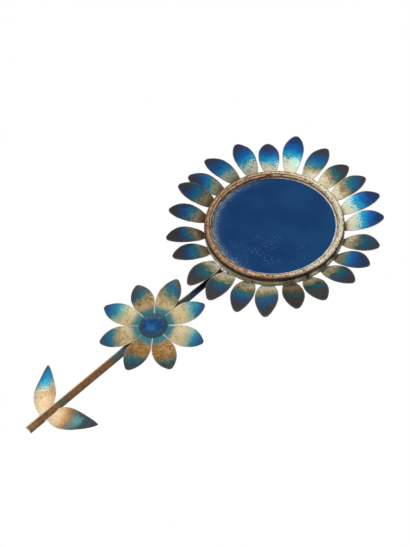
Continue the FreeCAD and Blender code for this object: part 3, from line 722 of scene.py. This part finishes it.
def moulding_finish():
    """The half-round rim, with all its marks drawn out round the ring."""
    finish, place = new_finish("moulding_copper")
    radius, way, _ = about_axis(place)
    q = (radius - BEAD_CENTRE) / BEAD_HALF
    right, below = facing(way, PHOTO_RIGHT), facing(way, PHOTO_BELOW)
    stripes = noise(around(way, q, 7.0, 2.6), 1.0, 4.0, 2.0, 0.62)
    dashes = noise(around(way, q, 16.0, 3.2), 1.0, 3.0, 5.0, 0.6)
    mottle = cloud(place, 6.5, 4.0, 4.0, 0.62)
    specks = cloud(place, 2.2, 3.0, 8.0, 0.6)

    def line(middle, start, end):
        """1 on a line that runs round the moulding, and 0 beside it."""
        return 1.0 - abs(q - middle).step(start, end)

    # Cream on the crown, shifted towards the right side: rubbed tin and in part a painted highlight.
    cream = (dashes + (mottle - 0.5) * 0.8 + right * 0.10).step(0.43, 0.52)
    # Cream flooding the right side: painted light.
    flooded = right.step(0.10, 0.70) * (mottle + (dashes - 0.5) * 0.5).step(0.38, 0.47)
    colour = layered(
        mixed(RIM_BROWN, COPPER, (stripes + (mottle - 0.5) * 0.5).step(0.36, 0.60)),
        (PINK_COPPER, below.step(-0.1, 0.8) * dashes.step(0.42, 0.60) * 0.8),
        # Straw mottles, more of them on the right side: in part painted light.
        (OLD_STRAW, mottle.step(0.47, 0.60) * (0.25 + right.step(-0.4, 0.6) * 0.6)),
        (CREAM_AND_HIGHLIGHT, cream * line(right * 0.12 - 0.05, 0.08, 0.50) * 0.9),
        (CREAM_AND_HIGHLIGHT, flooded * line(0.05, 0.55, 0.95) * 0.9),
        (CREAM_AND_HIGHLIGHT, line(-0.80, 0.04, 0.18) * stripes.step(0.38, 0.50) * 0.7),
        # The dark line on the inner slope and the line of specks fade on the right side: in part painted
        # shade.
        (RIM_BROWN, line(-0.52, 0.04, 0.20) * mottle.step(0.34, 0.50) * (0.9 - right.step(0.3, 1.0) * 0.54)),
        (SOOT_AND_SHADOW, line(0.30, 0.04, 0.20) * specks.step(0.44, 0.56) * (0.85 - right.step(0.2, 0.9) * 0.85)),
        (RIM_BROWN, (mottle + (dashes - 0.5) * 0.6).step(0.56, 0.62) * 0.85),
        # Specks that fade on the right side: in part painted shade.
        (SOOT_AND_SHADOW, specks.step(0.57, 0.63) * mottle.step(0.42, 0.56) * (0.85 - right.step(0.0, 0.6) * 0.7)),
        # Dark along the outer edge of the moulding: painted shadow.
        (SOOT_AND_SHADOW, (q + (mottle - 0.5) * 0.3).step(0.50, 0.82) * 0.9))
    return lay(finish, colour, 0.32 + stripes * 0.16 + specks * 0.14, 0.28,
               stripes * 0.5 + dashes * 0.25 + mottle * 0.4 + specks * 0.3, 0.9, gloss=0.3)


dress("rim_bead", moulding_finish())
print("moulding dressed")

# %% [markdown]
# Under the moulding stands the wall of the frame, a plain strip. It is in the moulding's shade and was
# touched by the same flame as the petals, so it is dark and teal with cream scuffs. Its lower side is painted
# lighter, with paler teal and more cream, and a pale line runs along its foot there: painted light and a
# painted highlight. Beside the stem it is crusted with grey solder. Where the two ends of the strip lap,
# there is a dark joint.
# The lip that holds the glass was never heated and is still bright, with spots of dirt; it is darkened in its
# corner under the moulding by painted shade, and along one side by a painted shadow of the moulding.


# %% The wall of the frame and the bright lip
LAP_JOINT, LOW_SIDE, STEM_SIDE = 108.5, 170.0, 186.0
# Dark brown: dirt on the solder, and painted shade and shadow on the lip.
DIRT_AND_SHADE = (0.05, 0.04, 0.03)


def wall_finish():
    """The strip round the frame."""
    finish, place = new_finish("wall_tin")
    _, way, depth = about_axis(place)
    patches = cloud(place, 11, 3.0, 1.0, 0.6)
    scuffs = noise(around(way, depth, 14.0, 0.42), 1.0, 3.0, 3.0, 0.6)
    specks = cloud(place, 1.8, 3.0, 6.0, 0.65)
    below, by_stem = facing(way, LOW_SIDE).step(0.1, 0.9), facing(way, STEM_SIDE).step(0.90, 0.985)
    # A pale line along the foot on the lower side: painted highlight.
    foot_highlight = (1.0 - abs(depth - 2.6).step(0.3, 1.2)) * below * patches.step(0.36, 0.50)
    joint = facing(way, LAP_JOINT).step(0.99975, 0.99995)
    colour = layered(
        mixed((0.085, 0.095, 0.070), (0.030, 0.170, 0.165), patches.step(0.40, 0.58)),
        # Paler teal on the lower side, and more cream scuffs there: in part painted light.
        ((0.16, 0.36, 0.33), below * (patches + (specks - 0.5) * 0.6).step(0.44, 0.54) * 0.85),
        ((0.72, 0.68, 0.50), (scuffs + below * 0.09).step(0.48, 0.57) * 0.9),
        ((0.62, 0.66, 0.60), by_stem * (specks * 0.5 + patches * 0.5).step(0.46, 0.53) * 0.9),
        ((0.07, 0.045, 0.03), specks.step(0.54, 0.62) * 0.8),
        ((0.80, 0.74, 0.52), foot_highlight * 0.8),
        ((0.012, 0.010, 0.008), joint))
    return lay(finish, colour, 0.42 + specks * 0.2, 0.5, scuffs * 0.3 + specks * 0.3 - joint, 0.4)


def lip_finish():
    """The bright strip that covers the edge of the glass."""
    finish, place = new_finish("bright_lip")
    radius, way, _ = about_axis(place)
    rubbed = noise(around(way, radius, 8.0, 0.7), 1.0, 3.0, 2.0)
    dirt = cloud(place, 5, 4.0, 5.0, 0.6)
    colour = layered(
        mixed((0.44, 0.44, 0.40), (0.88, 0.87, 0.82), rubbed.step(0.40, 0.62)),
        ((0.10, 0.085, 0.06), dirt.step(0.50, 0.68) * 0.75),
        # Darkened along one side by a painted shadow of the moulding, and in the corner under the moulding by
        # painted shade.
        (DIRT_AND_SHADE, facing(way, PHOTO_LEFT).step(-0.35, 0.55) * (0.9 - rubbed.step(0.52, 0.60) * 0.5)),
        (DIRT_AND_SHADE, radius.step(127.6, 128.6) * 0.85))
    return lay(finish, colour, 0.22 + dirt * 0.3, 0.85, rubbed * 0.4 + dirt * 0.3, 0.2)


dress("rim_band", wall_finish())
dress("glass_lip", lip_finish())
print("wall and lip dressed")

# %% [markdown]
# Mirror glass is a silver layer seen through glass. It shows its surroundings, here an even pale room, in a
# deep navy blue, which is a painted reflection of a blue sky. So its shader is a full metal with that blue as
# its colour and hardly any roughness. Age shows as a pale irregular haziness along the edge at the
# photograph's left, which is in part a painted reflection of the rim, as faint streaks along the edge at its
# right, and as dust: a few grains, thickest low on the glass.


# %% The old mirror glass
DUSTY_SIDE = 150.0


def glass_finish():
    """Mirror glass with a painted navy reflection, a hazy edge in part painted reflection, and dust."""
    finish, place = new_finish("old_mirror_glass")
    radius, way, _ = about_axis(place)
    wide = cloud(place, 70, 2.0, 3.0)
    wisps = cloud(place, 9, 4.0, 7.0, 0.65)
    grains = cloud(place, 1.7, 1.0, 9.0)
    drifts = cloud(place, 24, 2.0, 15.0)
    left, right = facing(way, PHOTO_LEFT), facing(way, PHOTO_RIGHT)
    near_edge = radius.step(104, 120)
    # A pale band along the left edge: hazy glass and in part a painted reflection of the rim.
    haze_and_reflection = left.step(0.2, 0.95) * (radius + (wisps - 0.5) * 22).step(112, 125)
    settled = (facing(way, DUSTY_SIDE) + (drifts - 0.5) * 4.0).step(0.6, 1.3)
    settled = settled * (1.0 - radius.step(92, 116))
    dusty = (grains.step(0.66, 0.69) * settled + grains.step(0.60, 0.64) * haze_and_reflection).at_most(1.0)
    colour = layered(
        # The navy ground is a painted reflection of a blue sky.
        mixed((0.0085, 0.042, 0.135), (0.012, 0.056, 0.160), wide.step(0.35, 0.65)),
        ((0.13, 0.19, 0.25), haze_and_reflection * 0.7),
        ((0.52, 0.57, 0.58), left.step(0.0, 0.9) * near_edge * grains.step(0.62, 0.67) * 0.6),
        ((0.05, 0.12, 0.22), right.step(0.4, 1.0) * near_edge * wisps.step(0.55, 0.70) * 0.6),
        ((0.26, 0.34, 0.38), dusty * 0.8))
    return lay(finish, colour, 0.045 + haze_and_reflection * 0.25 + dusty * 0.3 + wisps * 0.015, 1.0)


dress("mirror_glass", glass_finish())
print("glass dressed")

# %% [markdown]
# The stem is one long channel, and its colour changes down its length: dark blue under the flower head, rusty
# above the small flower, grey-teal below it, and golden brown rust from there to the foot. The changes are
# given as heights in a short table, and the finish walks down it, mixing in one tone after another at borders
# that wander. A pale line along its left front corner is a painted highlight, and a lighter strip runs along
# its right side.

# %% The stem
STEM_TONES = [
    # height where it takes over, its colour
    (-204, (0.006, 0.030, 0.110)), (-230, (0.020, 0.052, 0.058)), (-256, (0.16, 0.070, 0.024)),
    (-385, (0.040, 0.088, 0.092)), (-440, (0.19, 0.072, 0.016)), (-546, (0.050, 0.088, 0.045)),
    (-568, (0.21, 0.088, 0.028)), (-615, (0.28, 0.15, 0.070)),
]


def stem_finish():
    """The channel of the stem, tone below tone."""
    finish, place = new_finish("stem_tin")
    x, _, z = (place / MM).parts()
    patches = cloud(place, 14, 3.0, 2.0, 0.6)
    drawn = cloud(place * (3.0, 3.0, 0.5), 4, 4.0, 5.0, 0.65)
    blots = cloud(place, 4.5, 3.0, 12.0, 0.6)
    specks = cloud(place, 1.6, 3.0, 8.0, 0.65)
    height, golden = z + (patches - 0.5) * 40, 1.0 - z.step(-450, -430)
    left_edge_highlight = 1.0 - (x - STEM_X + drawn * 1.4).step(-4.4, -2.9)
    right_edge = (x - STEM_X - drawn * 1.6).step(4.4, 6.4)
    colour = layered(
        mixed((0.006, 0.011, 0.018), (0.012, 0.028, 0.045), patches.step(0.40, 0.60)),
        *[(tone, 1.0 - height.step(start - 8, start + 8)) for start, tone in STEM_TONES],
        ((0.34, 0.155, 0.040), drawn.step(0.50, 0.62) * (0.10 + golden * 0.5)),
        ((0.045, 0.022, 0.010), blots.step(0.52, 0.60) * (0.25 + golden * 0.4)),
        ((0.025, 0.014, 0.008), specks.step(0.55, 0.63) * (0.35 + golden * 0.25)),
        # A pale line along the left front corner: painted highlight.
        ((0.86, 0.72, 0.48), left_edge_highlight * drawn.step(0.32, 0.44) * 0.9),
        ((0.30, 0.21, 0.15), right_edge * drawn.step(0.40, 0.56) * (0.3 + golden * 0.4)))
    return lay(finish, colour, 0.42 + drawn * 0.2 + specks * 0.12, 0.25,
               drawn * 0.5 + specks * 0.35 + blots * 0.4, 0.6, gloss=0.3)


dress("stem", stem_finish())
print("stem dressed")

# %% [markdown]
# The button of the small flower is a dome beaten from the bluest tin. It is deep blue with pale scratches and
# painted glints on the side towards the photograph's top, grey-teal round its edge, where it is soldered
# down, and a dark ring at its very edge, a painted shadow. The pattern needs the distance from the button's
# own centre, so the coordinates are moved there first.


# %% The blue button
def button_finish():
    """The dome in the middle of the small flower."""
    finish, place = new_finish("button_blue")
    local = place - (FLOWER_X * MM, 0.0, FLOWER_Z * MM)
    radius, way, _ = about_axis(local)
    patches = cloud(place, 8, 3.0, 3.0, 0.6)
    small = cloud(place, 2.2, 3.0, 6.0, 0.65)
    scratches_and_glints = noise(local * (300.0, 60.0, 900.0), 1.0, 3.0, 4.0)
    edge = (radius + (patches - 0.5) * 14).step(15, 26)
    edge_tone = mixed((0.040, 0.085, 0.100), (0.085, 0.120, 0.120), small.step(0.42, 0.60))
    top = facing(way, PHOTO_TOP).step(0.1, 1.0) * radius.step(7, 16)
    colour = layered(
        mixed((0.001, 0.045, 0.145), (0.002, 0.085, 0.210), patches.step(0.4, 0.62)),
        (edge_tone, edge * 0.85),
        # Pale marks on the top side: scratches, and in part painted glints.
        ((0.24, 0.34, 0.38), top * scratches_and_glints.step(0.52, 0.60) * 0.8),
        ((0.02, 0.03, 0.03), small.step(0.60, 0.70) * 0.6),
        # A dark ring at the very edge: painted shadow in the gap.
        ((0.012, 0.014, 0.014), radius.step(26.2, 27.3) * 0.8))
    return lay(finish, colour, 0.34 + edge * 0.18 + small * 0.12, 0.45,
               patches * 0.6 + small * 0.3, 0.5, gloss=0.2)


dress("flower_button", button_finish())
print("button dressed")

# %% [markdown]
# Nobody colours the back. It is bare tin gone dull, with grey bloom, brown water stains and dark
# specks. One finish made by a function serves the rear ring, the plate, its tabs, the disc behind
# the flower and the strap, each with its own share of stain. The board behind the glass is brown
# card with short fibres, and the hanging ring is drawn steel wire.


# %% Bare tin, card and wire
def bare_tin(name, stain, seed):
    """Dull tin that was never heated."""
    finish, place = new_finish(name)
    bloom = cloud(place, 22, 4.0, seed + 1.0, 0.6)
    frost = cloud(place, 3.2, 3.0, seed + 4.0, 0.6)
    specks = cloud(place, 1.2, 2.0, seed + 7.0, 0.6)
    colour = layered(
        mixed((0.20, 0.185, 0.165), (0.46, 0.45, 0.42), bloom.step(0.34, 0.62)),
        ((0.56, 0.55, 0.52), frost.step(0.54, 0.68) * 0.5),
        ((0.15, 0.075, 0.03), (bloom + (frost - 0.5) * 0.3).step(0.56, 0.66) * stain),
        ((0.06, 0.045, 0.035), specks.step(0.64, 0.72) * 0.7))
    return lay(finish, colour, 0.38 + bloom * 0.2 + frost * 0.1, 0.75, bloom * 0.5 + frost * 0.3, 0.4)


def card_finish():
    """Brown board."""
    finish, place = new_finish("brown_card")
    fibres = cloud(place * (0.4, 1.0, 2.5), 1.6, 4.0, 2.0, 0.7)
    damp = cloud(place, 40, 3.0, 6.0)
    colour = layered(
        mixed((0.20, 0.125, 0.065), (0.33, 0.23, 0.13), fibres.step(0.36, 0.64)),
        ((0.11, 0.065, 0.035), damp.step(0.5, 0.7) * 0.6))
    return lay(finish, colour, 0.82 + fibres * 0.12, 0.0, fibres, 0.2)


def wire_finish():
    """Drawn steel wire with a little rust."""
    finish, place = new_finish("steel_wire")
    rust = cloud(place, 5, 4.0, 3.0, 0.65)
    drawn = cloud(place, 0.8, 2.0, 6.0)
    colour = layered(
        mixed((0.40, 0.39, 0.37), (0.26, 0.24, 0.22), drawn.step(0.4, 0.6)),
        ((0.20, 0.085, 0.03), rust.step(0.52, 0.66) * 0.8))
    return lay(finish, colour, 0.30 + rust * 0.3, 0.9, drawn * 0.4 + rust * 0.4, 0.12)


for name, stain, seed in [("rear_ring", 0.6, 0.0), ("back_plate", 0.45, 11.0), ("plate_tabs", 0.5, 23.0),
                          ("flower_back_disc", 0.7, 31.0), ("hanger_strap", 0.35, 47.0)]:
    dress(name, bare_tin(name + "_tin", stain, seed))
dress("backing_card", card_finish())
dress("hanger_ring", wire_finish())
print("back dressed")

# %% [markdown]
# The pieces are held together by soft solder. Along the foot of the wall it runs as an uneven
# thread, and where the stem enters and the leaves join it lies in lumps. The thread is a circle
# swept with a round section whose size wanders, and a heap is a handful of balls strewn along a
# short line. Both repeat or follow a path, so Geometry Nodes make them, and a voxel remesh melts
# the balls of a heap into one skin, which is what solder does.


# %% The thread of solder round the foot of the wall
def solder_thread_recipe():
    """A ring of solder of uneven thickness."""
    tree, p = new_recipe("solder_thread", {"DISTANCE": ["Radius", "Depth", "Thickness"],
                                           "NONE": ["Unevenness", "Seed"]})
    spot = put(tree, "GeometryNodeInputPosition")
    shake = put(tree, "ShaderNodeTexNoise", {"noise_dimensions": "4D"},
                {"Vector": spot, "W": p["Seed"], "Scale": 1 / (9 * MM)}, out="Color")
    swell = 0.45 + cloud(spot, 6, 2.0, p["Seed"] + 5.0) * p["Unevenness"]
    ring = put(tree, "GeometryNodeCurvePrimitiveCircle", None, {"Resolution": 720, "Radius": p["Radius"]})
    ring = through("Transform", ring, {"Rotation": (math.radians(90), 0.0, 0.0),
                                       "Translation": vector(0.0, 0.0 - p["Depth"], 0.0)})
    ring = through("SetPosition", ring, {"Offset": (shake - 0.5) * (0.8 * MM)})
    section = put(tree, "GeometryNodeCurvePrimitiveCircle", None,
                  {"Resolution": 10, "Radius": p["Thickness"]})
    skin = put(tree, "GeometryNodeCurveToMesh", None,
               {"Curve": ring, "Profile Curve": section, "Scale": swell})
    return hand_over(through("SetShadeSmooth", skin), p["Finish"])


solder_thread = solder_thread_recipe()
print("thread tree has", len(solder_thread.nodes), "nodes")

# %% Heaps of solder where the stem and the leaves join
HEAP_INPUTS = {
    "NONE": ["Count", "Seed"],
    "DISTANCE": ["Start X", "Start Z", "End X", "End Z", "Depth", "Spread", "Ball Radius"],
}


def solder_heap_recipe():
    """Balls strewn along a short line in front of the wall."""
    tree, p = new_recipe("solder_heap", HEAP_INPUTS)
    index = put(tree, "GeometryNodeInputIndex")
    share = index / (p["Count"] - 1.0)

    def chance(low, high, seed):
        """A number for each ball that is the same in every run."""
        return put(tree, "FunctionNodeRandomValue", {"data_type": "FLOAT"},
                   {2: low, 3: high, "ID": index, "Seed": seed}, out=1)

    stray = [chance(-1.0, 1.0, seed) * p["Spread"] for seed in (1, 2, 3)]
    spot = vector(p["Start X"] + (p["End X"] - p["Start X"]) * share + stray[0],
                  0.0 - p["Depth"] - stray[1] * 0.35,
                  p["Start Z"] + (p["End Z"] - p["Start Z"]) * share + stray[2])
    spots = put(tree, "GeometryNodePoints", None, {"Count": p["Count"], "Position": spot})
    ball = put(tree, "GeometryNodeMeshIcoSphere", None, {"Radius": p["Ball Radius"], "Subdivisions": 3})
    size = chance(0.55, 1.25, 9)
    balls = put(tree, "GeometryNodeInstanceOnPoints", None,
                {"Points": spots, "Instance": ball, "Scale": vector(size, size * 0.8, size)})
    rough = cloud(put(tree, "GeometryNodeInputPosition"), 1.6, 2.0, p["Seed"])
    push = (rough - 0.5) * p["Ball Radius"] * 0.9
    skin = through("SetPosition", through("RealizeInstances", balls),
                   {"Offset": put(tree, "GeometryNodeInputNormal") * push})
    return hand_over(skin, p["Finish"])


solder_heap = solder_heap_recipe()
print("heap tree has", len(solder_heap.nodes), "nodes")


# %% The solder, laid on
def melt(piece, voxel):
    """Melts the balls of a heap into one skin."""
    fuse = piece.modifiers.new("fuse", "REMESH")
    fuse.mode = "VOXEL"
    fuse.voxel_size = voxel
    fuse.use_smooth_shade = True
    calm = piece.modifiers.new("calm", "SMOOTH")
    calm.factor = 0.5
    calm.iterations = 2
    return settle(piece)


def solder_finish(name, bright, dull, stain, stained):
    """Cold solder: grey, lumpy, with a stain of flux."""
    finish, place = new_finish(name)
    lumps = cloud(place, 3, 3.0, 2.0, 0.6)
    specks = cloud(place, 1.0, 3.0, 5.0, 0.6)
    colour = layered(
        mixed(dull, bright, lumps.step(0.36, 0.60)),
        (stain, cloud(place, 6, 3.0, 8.0).step(0.44, 0.60) * stained),
        (DIRT_AND_SHADE, specks.step(0.60, 0.70) * 0.6))
    return lay(finish, colour, 0.34 + lumps * 0.25, 0.7, lumps * 0.6 + specks * 0.3, 0.35)


SOLDER_TONES = {
    # bright, dull, stain, how stained
    "thread_solder": ((0.62, 0.57, 0.44), (0.26, 0.24, 0.19), (0.02, 0.08, 0.08), 0.5),
    "silver_solder": ((0.52, 0.52, 0.46), (0.075, 0.090, 0.085), (0.02, 0.06, 0.06), 0.6),
    "rusty_solder": ((0.34, 0.17, 0.08), (0.13, 0.055, 0.028), (0.05, 0.03, 0.02), 0.5),
}
HEAPS = [
    # name, solder, slot, balls, from x, z, to x, z, depth, spread, ball radius
    ("stem_joint_solder", "silver_solder", "stem_tin", 60, -26.0, -144.0, 8.0, -146.5, 3.6, 2.4, 1.5),
    ("left_leaf_solder", "rusty_solder", "leaf_tin", 14, -11.5, -602.0, -11.5, -584.0, 2.6, 1.2, 1.7),
    ("right_leaf_solder", "rusty_solder", "leaf_tin", 16, 4.0, -602.0, 4.0, -582.0, 2.8, 1.2, 1.8),
]
solders = {name: solder_finish(name, *tones) for name, tones in SOLDER_TONES.items()}
thread = grow("solder_thread", solder_thread,
              {"Radius": 143.1, "Depth": 2.4, "Thickness": 1.0, "Unevenness": 0.9, "Seed": 3},
              solders["thread_solder"])
attach(thread, "mirror", "frame_tin")
for name, solder, slot, count, *lengths in HEAPS:
    sizes = {"Count": count, "Seed": count, **dict(zip(HEAP_INPUTS["DISTANCE"], lengths))}
    heap = grow(name, solder_heap, sizes, solders[solder])
    attach(melt(heap, 0.4 * MM), "mirror", slot)
    print(name, "faces", len(heap.data.polygons))

# %% [markdown]
# The floor is far below, because the camera looks up from below the stem's foot. Soft light comes
# from one large lamp above and in front, on the photograph's left, and from the room all round.
# The world lights the object at a plain level, and shows itself as white to the camera and in
# reflections, so a bright background costs no extra light on the tin.

# %% Floor, lamp and world
FLOOR_LEVEL, FLOOR_REACH = -0.93, 6
LAMP_DISTANCE, LAMP_SIZE, LAMP_POWER = 2.3, 1.5, 40
ROOM_LEVEL = 0.36

floor_mesh = bpy.data.meshes.new("floor")
floor_mesh.from_pydata([(x * FLOOR_REACH, y * FLOOR_REACH, FLOOR_LEVEL)
                        for x, y in ((-1, -1), (1, -1), (1, 1), (-1, 1))], [], [(0, 1, 2, 3)])
floor_paint, floor_place = new_finish("floor_paint")
lay(floor_paint, mixed((0.80, 0.80, 0.79), (0.84, 0.84, 0.83), cloud(floor_place, 400)), 0.8)
floor_mesh.materials.append(floor_paint)
floor = in_scene("floor", floor_mesh)

lamp_way = (camera_back * 0.72 + camera_up * 0.52 - camera_right * 0.46).normalized()
lamp_target = Vector((0, 0, -0.2))
lamp_place = lamp_target + lamp_way * LAMP_DISTANCE
lamp = in_scene("soft_lamp", bpy.data.lights.new("soft_lamp", "AREA"))
lamp.data.shape = "DISK"
lamp.data.size = LAMP_SIZE
lamp.data.energy = LAMP_POWER
lamp.matrix_world = Matrix.Translation(lamp_place) @ lamp_way.to_track_quat("Z", "Y").to_matrix().to_4x4()

world = bpy.data.worlds.new("room")
world.use_nodes = True
bpy.context.scene.world = world
sky = world.node_tree.nodes["Background"]
seen = put(world.node_tree, "ShaderNodeLightPath", out="Is Camera Ray")
ways = seen.socket.node.outputs
shown = seen.at_least(Thread(ways["Is Glossy Ray"])).at_least(Thread(ways["Is Transmission Ray"]))
strength = ROOM_LEVEL + shown * (1.0 - ROOM_LEVEL)
world.node_tree.links.new(strength.socket, sky.inputs["Strength"])
sky.inputs["Color"].default_value = (1.0, 1.0, 1.0, 1.0)
print("lamp at", [round(c, 2) for c in lamp_place])
